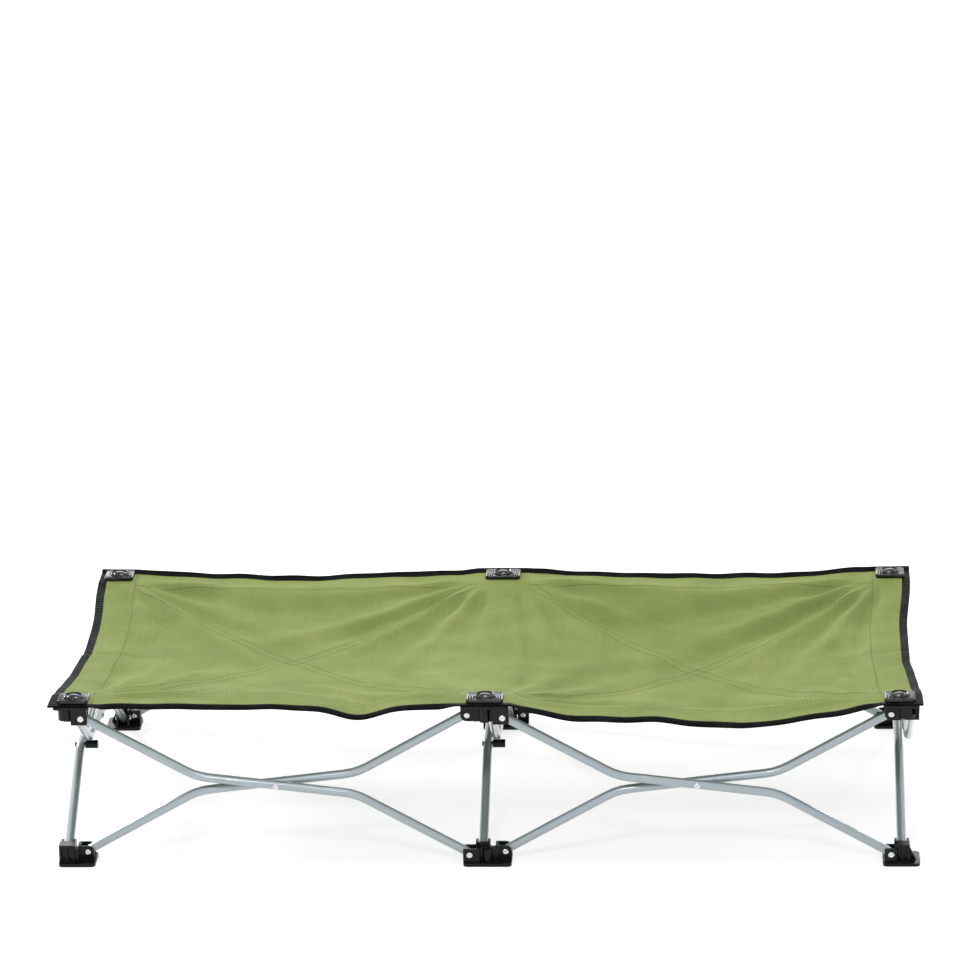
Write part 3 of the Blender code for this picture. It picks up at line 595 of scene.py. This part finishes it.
def cloth_points(x, y):
    """Points of the middle of the hanging sheet from places on the flat sheet."""
    x, y = np.asarray(x, float), np.asarray(y, float)
    free = away_from_clamps(x, y)
    panel = np.clip(np.abs(x) / CAP_X, 0.0, 1.0)
    height = SLING_Z - sag(x, y) + (fold_height(x, y, FOLDS) + ripple_height(x, y)) * free
    height -= bell(y, END_CREASE) * smooth_step((np.abs(x) - END_CREASE_START) / END_CREASE_RISE)
    turn = np.clip((np.abs(y) - (SLING_HALF_Y - EDGE_TURN)) / EDGE_TURN, 0.0, 1.0) ** EDGE_CURL
    height += np.where(y < 0, -FRONT_DROP * free, BACK_RISE) * turn
    bow = np.where(x < 0, end_bow(y, LEFT), end_bow(y, RIGHT))
    bowed_x = x - np.sign(x) * bow * np.clip(np.abs(x) / SLING_HALF_X, 0.0, 1.0) ** END_BOW_FADE
    bowed_y = y * (1 - SLING_BOW_Y / SLING_HALF_Y * arch(panel))
    return np.stack([bowed_x, bowed_y, height], axis=-1)


def cloth_normals(x, y):
    x, y = np.asarray(x, float), np.asarray(y, float)
    along_x = cloth_points(x + NORMAL_STEP, y) - cloth_points(x - NORMAL_STEP, y)
    along_y = cloth_points(x, y + NORMAL_STEP) - cloth_points(x, y - NORMAL_STEP)
    normals = np.cross(along_x, along_y)
    return normals / np.linalg.norm(normals, axis=-1, keepdims=True)


# Meshes and cloth pieces


def new_object(name, mesh, material):
    obj = bpy.data.objects.new(name, mesh)
    bpy.context.scene.collection.objects.link(obj)
    mesh.materials.clear()
    mesh.materials.append(material)
    return obj


def mesh_from(name, points, faces):
    mesh = bpy.data.meshes.new(name)
    mesh.from_pydata([tuple(point) for point in points], [], faces)
    mesh.shade_smooth()
    return mesh


def body_weights(x, y):
    """Share of each body in the movement of the cloth at flat places.

    Between the clamps the cloth follows its brackets by distance. As the frame folds it hangs
    down between them, so part of each share goes to the foot below the bracket.
    """
    corner = share_between(np.abs(x), MIDDLE_CLAMP_FLAT[0], HANG_START)
    back = share_between(y, -REACH_Y, REACH_Y)
    hang = 1 - (1 - arch(corner, HANG_POWER)) * (1 - arch(back, HANG_POWER))
    down = HANG_SHARE * hang
    weights = {}
    for spot in SPOTS:
        side, place = spot.split("_")
        across = back if side == "back" else 1 - back
        if place == "middle":
            along = 1 - corner
        else:
            along = corner * ((x < 0) if place == "left" else (x > 0))
        weights[f"top_bracket_{spot}"] = across * along * (1 - down)
        weights[f"foot_{spot}"] = across * along * down
    return weights


def hang_on_brackets(obj, x, y):
    """Let a cloth piece follow all brackets. x and y are the flat places of its vertices."""
    for body, weights in body_weights(np.asarray(x), np.asarray(y)).items():
        if body == CLOTH_BODY:
            continue
        group = obj.vertex_groups.new(name=body)
        for index in np.flatnonzero(weights > LEAST_WEIGHT):
            group.add([int(index)], float(weights[index]), "REPLACE")
        hook = obj.modifiers.new(body, "HOOK")
        hook.object = frame["bodies"][body]
        hook.vertex_group = body
        hook.falloff_type = "NONE"
    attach(obj, CLOTH_BODY)


def grid_faces(rows, columns, closed=False):
    """Quads between the rows of a grid of points. A closed grid joins its last column to its first."""
    last = columns if closed else columns - 1
    faces = []
    for row in range(rows - 1):
        for column in range(last):
            beside = (column + 1) % columns
            faces.append(
                (
                    row * columns + column,
                    row * columns + beside,
                    (row + 1) * columns + beside,
                    (row + 1) * columns + column,
                )
            )
    return faces


def thicken(obj, thickness):
    """Give a sheet its thickness after it has moved, half of it on each side."""
    solidify = obj.modifiers.new("thickness", "SOLIDIFY")
    solidify.thickness = thickness
    solidify.offset = 0.0


def add_sling(material):
    columns = round(2 * SLING_HALF_X / CLOTH_STEP) + 1
    rows = round(2 * SLING_HALF_Y / CLOTH_STEP) + 1
    inset = BINDING_THICKNESS["side"] / 2
    flat_x, flat_y = np.meshgrid(
        np.linspace(-SLING_HALF_X + inset, SLING_HALF_X - inset, columns),
        np.linspace(-SLING_HALF_Y + inset, SLING_HALF_Y - inset, rows),
    )
    flat_x, flat_y = flat_x.ravel(), flat_y.ravel()
    mesh = mesh_from("sling", cloth_points(flat_x, flat_y), grid_faces(rows, columns))
    obj = new_object("sling_cloth", mesh, material)
    hang_on_brackets(obj, flat_x, flat_y)
    thicken(obj, CLOTH_THICKNESS)
    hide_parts("fabric_sling")
    return obj


def band_mesh(name, flat_places, width, depth):
    """A sheet for a band on the cloth, at a depth below the middle of the cloth.

    flat_places gives the flat x and y for an inset from the band's edge.
    """
    insets = np.linspace(0.0, width, BAND_COLUMNS)
    places = [flat_places(inset) for inset in insets]
    flats = np.stack([np.stack(place, axis=-1) for place in places], axis=1)
    x, y = flats[..., 0], flats[..., 1]
    points = cloth_points(x, y) - cloth_normals(x, y) * depth
    stations = len(points)
    mesh = mesh_from(name, points.reshape(-1, 3), grid_faces(stations, BAND_COLUMNS))
    if mesh.polygons[0].normal.z < 0:
        mesh.flip_normals()
    steps = np.linalg.norm(np.diff(points[:, 0], axis=0), axis=1)
    lengths = np.concatenate([[0], np.cumsum(steps)])
    uv = mesh.uv_layers.new(name="along_tape")
    for loop in mesh.loops:
        station, column = divmod(loop.vertex_index, BAND_COLUMNS)
        uv.data[loop.index].uv = (lengths[station], insets[column])
    return mesh, flats.reshape(-1, 2)


def add_band(name, flat_places, width, thickness, depth, material):
    """A band of tape that moves with the cloth, with soft edges."""
    mesh, flats = band_mesh(name, flat_places, width, depth)
    obj = new_object(name, mesh, material)
    hang_on_brackets(obj, flats[:, 0], flats[:, 1])
    thicken(obj, thickness)
    soft = obj.modifiers.new("soft edges", "BEVEL")
    soft.width = TAPE_ROUNDING * thickness
    soft.segments = 2
    soft.limit_method = "ANGLE"
    soft.angle_limit = TAPE_EDGE_ANGLE
    return obj


def edge_line(edge, end):
    """Flat places along one edge of the sling, as a function of the inset from it."""
    count, overhang = BINDING_STATIONS[edge], BINDING_OVERHANG[edge]
    if edge == "end":
        run = np.linspace(-SLING_HALF_Y - overhang, SLING_HALF_Y + overhang, count)
        return lambda inset: (np.full(count, end * (SLING_HALF_X - inset)), run)
    run = np.linspace(-SLING_HALF_X - overhang, SLING_HALF_X + overhang, count)
    return lambda inset: (run, np.full(count, end * (SLING_HALF_Y - inset)))


def add_binding(tapes):
    """Four tapes folded over the edges. The end tapes lie over the others at the corners."""
    pieces = []
    for name, edge, end in (
        ("front", "side", FRONT),
        ("back", "side", BACK),
        ("left", "end", LEFT),
        ("right", "end", RIGHT),
    ):
        line = edge_line(edge, end)
        width, thickness = BINDING_WIDTH[edge], BINDING_THICKNESS[edge]
        tape = tapes[edge]
        pieces.append(add_band(f"binding_{name}", line, width, thickness, depth=0.0, material=tape))
    return pieces


def straight_line(start, stop, step):
    """Flat places at an even step from start to stop, and the direction."""
    start, stop = np.array(start, float), np.array(stop, float)
    length = np.linalg.norm(stop - start)
    count = max(2, int(length / step) + 1)
    shares = np.linspace(0.0, 1.0, count)
    return start + (stop - start) * shares[:, None], (stop - start) / length


def sideways(directions):
    """Flat directions turned to the left."""
    return np.stack([-directions[..., 1], directions[..., 0]], axis=-1)


def strap_runs():
    """Two crossing straps under each panel, from the corner clamps to the middle clamps."""
    runs = []
    for end in (LEFT, RIGHT):
        for side in (FRONT, BACK):
            corner = (end * (CAP_X - STRAP_IN_X), side * (CAP_Y - STRAP_IN_Y))
            middle = (end * STRAP_STOP_X, -side * (CAP_Y - STRAP_IN_Y))
            runs.append((corner, middle))
    return runs


def strap_line(corner, middle):
    """Flat places along a strap, as a function of the inset from its edge."""
    centres, direction = straight_line(corner, middle, STRAP_STEP)

    def places(inset):
        moved = centres + sideways(direction) * (inset - STRAP_WIDTH / 2)
        return moved[:, 0], moved[:, 1]

    return places


def add_straps(material):
    """Webbing sewn to the underside of the sling."""
    pieces = []
    for number, (corner, middle) in enumerate(strap_runs()):
        line = strap_line(corner, middle)
        depth = STRAP_DEPTH + STRAP_THICKNESS * (number % 2)  # one passes below the other
        name = f"sewn_strap_{number + 1}"
        pieces.append(add_band(name, line, STRAP_WIDTH, STRAP_THICKNESS, depth, material))
    return pieces


def stitch_mesh(name, runs):
    """Stitches along straight runs on the flat cloth. Each is a short spindle of thread."""
    middles, directions = [], []
    for start, stop in runs:
        places, direction = straight_line(start, stop, STITCH_PITCH)
        middles.append(places)
        directions.append(np.repeat(direction[None], len(places), axis=0))
    middles, directions = np.concatenate(middles), np.concatenate(directions)
    points, flats = [], []
    for along, size, lift in STITCH_RINGS:
        for side in range(THREAD_SIDES):
            angle = 2 * math.pi * side / THREAD_SIDES
            across = size * THREAD_RADIUS * math.cos(angle)
            up = CLOTH_THICKNESS / 2 + THREAD_RADIUS * (lift + size * math.sin(angle))
            flat = middles + directions * along * STITCH_LENGTH + sideways(directions) * across
            x, y = flat[:, 0], flat[:, 1]
            points.append(cloth_points(x, y) + cloth_normals(x, y) * up)
            flats.append(flat)
    points = np.stack(points, axis=1).reshape(-1, 3)
    flats = np.stack(flats, axis=1).reshape(-1, 2)
    spindle = grid_faces(len(STITCH_RINGS), THREAD_SIDES, closed=True)
    faces = []
    for number in range(len(middles)):
        base = number * len(STITCH_RINGS) * THREAD_SIDES
        faces += [tuple(base + i for i in face) for face in spindle]
    return mesh_from(name, points, faces), flats


def add_stitches(name, runs, material):
    mesh, flats = stitch_mesh(name, runs)
    obj = new_object(name, mesh, material)
    hang_on_brackets(obj, flats[:, 0], flats[:, 1])
    return obj


def strap_stitch_runs():
    """Two stitch lines on each strap, seen on top of the sling."""
    runs = []
    for corner, middle in strap_runs():
        centres, direction = straight_line(corner, middle, STRAP_STEP)
        for side in (-1, 1):
            offset = sideways(direction) * side * (STRAP_WIDTH / 2 - STRAP_SEAM_INSET)
            start = centres[0] + direction * STRAP_SEAM_START + offset
            stop = centres[-1] - direction * STRAP_SEAM_START + offset
            runs.append((start, stop))
    return runs


def border_seam_runs():
    """Stitch lines along all four edges, between the clamps."""
    runs = [((end * SEAM_X, -REACH_Y), (end * SEAM_X, REACH_Y)) for end in (LEFT, RIGHT)]
    near, far = SEAM_RUN
    for side in (FRONT, BACK):
        for end in (LEFT, RIGHT):
            runs.append(((end * near, side * SEAM_Y), (end * far, side * SEAM_Y)))
    return runs


# Clamp caps


def add_box(bm, low, high):
    low, high = Vector(low), Vector(high)
    place = Matrix.Translation((low + high) / 2) @ Matrix.Diagonal((*(high - low), 1.0))
    return bmesh.ops.create_cube(bm, size=1.0, matrix=place)["verts"]


def box_edges(verts):
    """Each edge of a box once, in the order of its first vertex."""
    inside = set(verts)
    return [
        edge
        for vert in verts
        for edge in vert.link_edges
        if edge.verts[0] == vert and edge.verts[1] in inside
    ]


def is_upright(edge):
    """True for an edge that runs nearly along Z."""
    first, second = edge.verts
    return abs((second.co - first.co).normalized().z) > 0.9


def round_edges(bm, edges, radius, steps):
    bmesh.ops.bevel(bm, geom=edges, offset=radius, segments=steps, profile=0.5, affect="EDGES")


def add_cap_plate(bm, half_x, half_y, top):
    """A plate with round corners and a soft upper rim."""
    verts = add_box(bm, (-half_x, -half_y, 0.0), (half_x, half_y, top))
    corner_edges = [edge for edge in box_edges(verts) if is_upright(edge)]
    round_edges(bm, corner_edges, radius=CAP_CORNER, steps=6)
    rim = [
        edge
        for edge in bm.edges
        if all(math.isclose(end.co.z, top, abs_tol=1e-6) for end in edge.verts)
        and any(abs(face.normal.z) < 0.5 for face in edge.link_faces)
    ]
    round_edges(bm, rim, radius=CAP_RIM, steps=3)


def add_lathe(bm, profile, segments):
    """A turned shape about Z from (radius, height) points, from its middle outwards."""
    rings = []
    for radius, height in profile:
        if radius == 0:
            rings.append([bm.verts.new((0, 0, height))])
            continue
        angles = [2 * math.pi * i / segments for i in range(segments)]
        ring = [(radius * math.cos(angle), radius * math.sin(angle), height) for angle in angles]
        rings.append([bm.verts.new(point) for point in ring])
    for inner, outer in zip(rings, rings[1:]):
        for i in range(segments):
            j = (i + 1) % segments
            if len(inner) == 1:
                bm.faces.new((inner[0], outer[i], outer[j]))
            elif len(outer) == 1:
                bm.faces.new((inner[i], outer[0], inner[j]))
            else:
                bm.faces.new((inner[i], outer[i], outer[j], inner[j]))


def smooth_mesh(name, bm):
    bmesh.ops.recalc_face_normals(bm, faces=bm.faces)
    mesh = bpy.data.meshes.new(name)
    bm.to_mesh(mesh)
    bm.free()
    mesh.shade_smooth()
    return mesh


def cap_mesh(name, size, rib_sides):
    """A clamp cap: plate, raised ring with a low dome in it, and rounded ribs beside it."""
    half_x, half_y = size[0] / 2, size[1] / 2
    top = CAP_THICKNESS
    bm = bmesh.new()
    add_cap_plate(bm, half_x, half_y, top)
    add_lathe(bm, [(radius, top + height) for radius, height in BUTTON_PROFILE], BUTTON_SEGMENTS)
    for side in rib_sides:
        for i in range(RIBS_PER_SIDE):
            centre = side * (half_x - RIB_INSET - i * RIB_PITCH)
            low = (centre - RIB_HALF_WIDTH, RIB_INSET - half_y, top / 2)
            high = (centre + RIB_HALF_WIDTH, half_y - RIB_INSET, top + RIB_HEIGHT)
            round_edges(bm, box_edges(add_box(bm, low, high)), radius=RIB_ROUNDING, steps=2)
    mesh = smooth_mesh(name, bm)
    mesh.set_sharp_from_angle(angle=CAP_CREASE_ANGLE)
    return mesh


def add_caps(material):
    corner = cap_mesh("corner_cap", CAP_SIZE, (LEFT,))
    middle = cap_mesh("middle_cap", MIDDLE_CAP_SIZE, (LEFT, RIGHT))
    for x, y, _ in clamp_places():
        side = "front" if y < 0 else "back"
        spot = f"{side}_{'left' if x < 0 else 'right' if x > 0 else 'middle'}"
        obj = new_object(f"cap_{spot}", corner if x else middle, material)
        obj.location = (x, y, CAP_BOTTOM)
        obj.rotation_euler.z = math.pi if x < 0 else 0.0
        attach(obj, f"top_bracket_{spot}")
        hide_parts(f"clamp_cap_{spot}")


# Rivets


def head_mesh():
    bm = bmesh.new()
    add_lathe(bm, HEAD_PROFILE, HEAD_SEGMENTS)
    return smooth_mesh("rivet_head", bm)


def add_head(name, mesh, material, place, outward, body):
    obj = new_object(name, mesh, material)
    turn = Vector((0, 0, 1)).rotation_difference(Vector(outward)).to_matrix().to_4x4()
    obj.matrix_world = Matrix.Translation(place) @ turn
    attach(obj, body)
    return obj


def add_rivet_heads(material):
    """A head at each end of every CAD rivet, and on the pins that are moulded in their brackets."""
    mesh = head_mesh()
    node_body = {
        node: body for body, nodes in frame["record"]["behaviour"]["bodies"].items() for node in nodes
    }
    for name in sorted(node for node in frame["nodes"] if node.startswith("rivet_")):
        low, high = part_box(name)
        centre, half = (low + high) / 2, (high - low) / 2
        axis = max(range(3), key=lambda i: half[i])
        outward = Vector([1.0 if i == axis else 0.0 for i in range(3)])
        for sign, side in HEAD_SIDES:
            place = centre + outward * sign * (half[axis] - HEAD_HEIGHT)
            facing = outward * sign
            head = f"{name}_head_{side}"
            add_head(head, mesh, material, place, facing, node_body[name])
        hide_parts(name)
    for body, place in pin_places():
        for sign, side in HEAD_SIDES:
            face = place + Vector((sign * CHEEK_FACE, 0, 0))
            add_head(f"pin_head_{body}_{side}", mesh, material, face, (sign, 0, 0), body)


def pin_places():
    """Body and middle of each pin across the cot, at the ends of the end and middle tubes."""
    places = []
    for side in (FRONT, BACK):
        side_name = "front" if side == FRONT else "back"
        for spot in ("left", "middle", "right"):
            for level, z in (("foot", FOOT_PIVOT_Z), ("top_bracket", TOP_PIVOT_Z)):
                foot = level == "foot"
                if spot == "middle":
                    x = HALF_PITCH * (-1 if foot == (side == FRONT) else 1)
                else:
                    end = LEFT if spot == "left" else RIGHT
                    outer_tube = (side * end > 0) == foot
                    x = end * END_PLANE_X + HALF_PITCH * (1 if outer_tube else -1) * end
                places.append((f"{level}_{side_name}_{spot}", Vector((x, side * END_PIVOT_Y, z))))
    return places


# Floor, lights and camera


def studio_floor():
    """Pale matt grey that keeps its shadows. The camera sees it whiter the further away it is."""
    made = Nodes("pale_studio_floor")
    made.constant(Roughness=0.7, Specular_IOR_Level=0.15)
    place = made.coordinates()
    dark, pale = [(grey, grey, grey) for grey in FLOOR_GREY]
    clouds = made.noise(place, scale=3.0)
    made.connect(Base_Color=made.colours(clouds, ((0.3, dark), (0.7, pale))))
    away = made.add("ShaderNodeVectorMath", operation="LENGTH")
    made.link(place, away.inputs[0])
    whiter = made.add("ShaderNodeMapRange", interpolation_type="SMOOTHSTEP")
    for socket, value in zip(("From Min", "From Max", "To Min", "To Max"), FLOOR_NEAR + FLOOR_WHITE):
        whiter.inputs[socket].default_value = value
    made.link(away.outputs["Value"], whiter.inputs["Value"])
    glow = made.add("ShaderNodeEmission")
    seen = made.product(seen_rays(made.tree), whiter.outputs["Result"])
    made.link(seen, glow.inputs["Strength"])
    both = made.add("ShaderNodeAddShader")
    made.link(made.shader.outputs["BSDF"], both.inputs[0])
    made.link(glow.outputs["Emission"], both.inputs[1])
    made.link(both.outputs["Shader"], made.output.inputs["Surface"])
    return made.material


def add_floor():
    (left, right), (near, far) = FLOOR_X, FLOOR_Y
    outline = [(left, near, 0), (right, near, 0), (right, far, 0), (left, far, 0)]
    mesh = mesh_from("floor", outline, [(0, 1, 2, 3)])
    new_object("studio_floor", mesh, studio_floor())


def add_world():
    """Even studio light. Seen by the camera, in gloss and through glass, it is plain white."""
    world = bpy.data.worlds.new("studio")
    bpy.context.scene.world = world
    world.use_nodes = True
    tree = world.node_tree
    nodes, links = tree.nodes, tree.links
    nodes.clear()
    light = nodes.new("ShaderNodeBackground")
    light.inputs["Color"].default_value = WORLD_COLOUR
    light.inputs["Strength"].default_value = WORLD_STRENGTH
    white = nodes.new("ShaderNodeBackground")
    white.inputs["Color"].default_value = (1, 1, 1, 1)
    white.inputs["Strength"].default_value = 1.0
    mix = nodes.new("ShaderNodeMixShader")
    links.new(seen_rays(tree), mix.inputs["Fac"])
    links.new(light.outputs["Background"], mix.inputs[1])
    links.new(white.outputs["Background"], mix.inputs[2])
    output = nodes.new("ShaderNodeOutputWorld")
    links.new(mix.outputs["Shader"], output.inputs["Surface"])


def add_lamp(name, place, target, size, power):
    data = bpy.data.lights.new(name, "AREA")
    data.shape = "RECTANGLE"
    data.size, data.size_y = size
    data.energy = power
    lamp = bpy.data.objects.new(name, data)
    bpy.context.scene.collection.objects.link(lamp)
    lamp.location = place
    lamp.visible_camera = False
    lamp.rotation_mode = "QUATERNION"
    lamp.rotation_quaternion = (Vector(target) - Vector(place)).to_track_quat("-Z", "Y")


def add_camera():
    forward, right = Vector(CAMERA_FORWARD), Vector(CAMERA_RIGHT)
    up = right.cross(forward)
    axes = Matrix((right, up, -forward)).transposed().to_4x4()
    data = bpy.data.cameras.new("photograph_view")
    data.sensor_width = CAMERA_SENSOR
    data.lens = CAMERA_LENS
    data.clip_end = CAMERA_REACH
    camera = bpy.data.objects.new("photograph_view", data)
    bpy.context.scene.collection.objects.link(camera)
    camera.matrix_world = Matrix.Translation(CAMERA_PLACE) @ axes
    bpy.context.scene.camera = camera


# The dressed frame


def smooth_shading():
    """Nodes that join the separate triangles of a CAD mesh and shade it smooth between creases."""
    group = bpy.data.node_groups.new("smooth_cad_shading", "GeometryNodeTree")
    for direction in ("INPUT", "OUTPUT"):
        group.interface.new_socket("Geometry", in_out=direction, socket_type="NodeSocketGeometry")
    merge = group.nodes.new("GeometryNodeMergeByDistance")
    merge.inputs["Distance"].default_value = MERGE_DISTANCE
    flat_normals = group.nodes.new("GeometryNodeRemoveAttribute")
    flat_normals.inputs["Name"].default_value = "custom_normal"
    faces = group.nodes.new("GeometryNodeSetShadeSmooth")
    edges = group.nodes.new("GeometryNodeSetShadeSmooth")
    edges.domain = "EDGE"
    soft = group.nodes.new("ShaderNodeMath")
    soft.operation = "LESS_THAN"
    soft.inputs[1].default_value = CREASE_ANGLE
    angle = group.nodes.new("GeometryNodeInputMeshEdgeAngle")
    group.links.new(angle.outputs["Unsigned Angle"], soft.inputs[0])
    group.links.new(soft.outputs[0], edges.inputs["Shade Smooth"])
    chain = [group.nodes.new("NodeGroupInput"), merge, flat_normals, faces, edges]
    chain.append(group.nodes.new("NodeGroupOutput"))
    for before, after in zip(chain, chain[1:]):
        group.links.new(before.outputs[0], after.inputs[0])
    return group


def paint_frame(paints):
    """Give each CAD node the material of its kind and smooth shading."""
    smoothing = smooth_shading()
    for name, node in frame["nodes"].items():
        paint = next(paints[kind] for kind in paints if name.startswith(kind))
        node.data.materials.clear()
        node.data.materials.append(paint)
        modifier = node.modifiers.new("smooth shading", "NODES")
        modifier.node_group = smoothing
        weighted = node.modifiers.new("flat faces stay flat", "WEIGHTED_NORMAL")
        weighted.keep_sharp = True


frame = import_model()
bpy.context.scene.view_settings.view_transform = "Standard"

steel = rivet_steel()
bracket_plastic = moulded_plastic(
    "black_bracket_plastic", colour=(0.008, 0.008, 0.009), rough=(0.20, 0.32), grain=0.12, gloss=0.22
)
cap_plastic = moulded_plastic(
    "glossy_cap_plastic", colour=(0.006, 0.006, 0.007), rough=(0.08, 0.18), grain=0.05, gloss=0.40
)
cloth = sling_cloth()
side_tape = woven_tape("black_side_tape", dark=0.0022, light=0.030, rib_scale=82.0)
end_tape = woven_tape("black_end_tape", dark=0.0022, light=0.060, rib_scale=50.0)
webbing = woven_tape("black_strap_webbing", dark=0.0030, light=0.060, rib_scale=120.0)
green_thread = sewing_thread("green_sewing_thread", colour=(0.040, 0.058, 0.016))

paint_frame(
    {
        "tube_": tube_paint(),
        "rivet_": steel,
        "clamp_cap_": cap_plastic,
        "fabric_sling": cloth,
        "foot_": bracket_plastic,
        "top_bracket_": bracket_plastic,
        "stop_peg_": bracket_plastic,
    }
)

sling = add_sling(cloth)
sewn = add_binding({"side": side_tape, "end": end_tape}) + add_straps(webbing)
sewn.append(add_stitches("strap_stitches", strap_stitch_runs(), green_thread))
sewn.append(add_stitches("border_stitches", border_seam_runs(), green_thread))
add_caps(cap_plastic)
add_rivet_heads(steel)

add_floor()
add_world()
for lamp_name, lamp_settings in LAMPS.items():
    add_lamp(lamp_name, *lamp_settings)
add_camera()
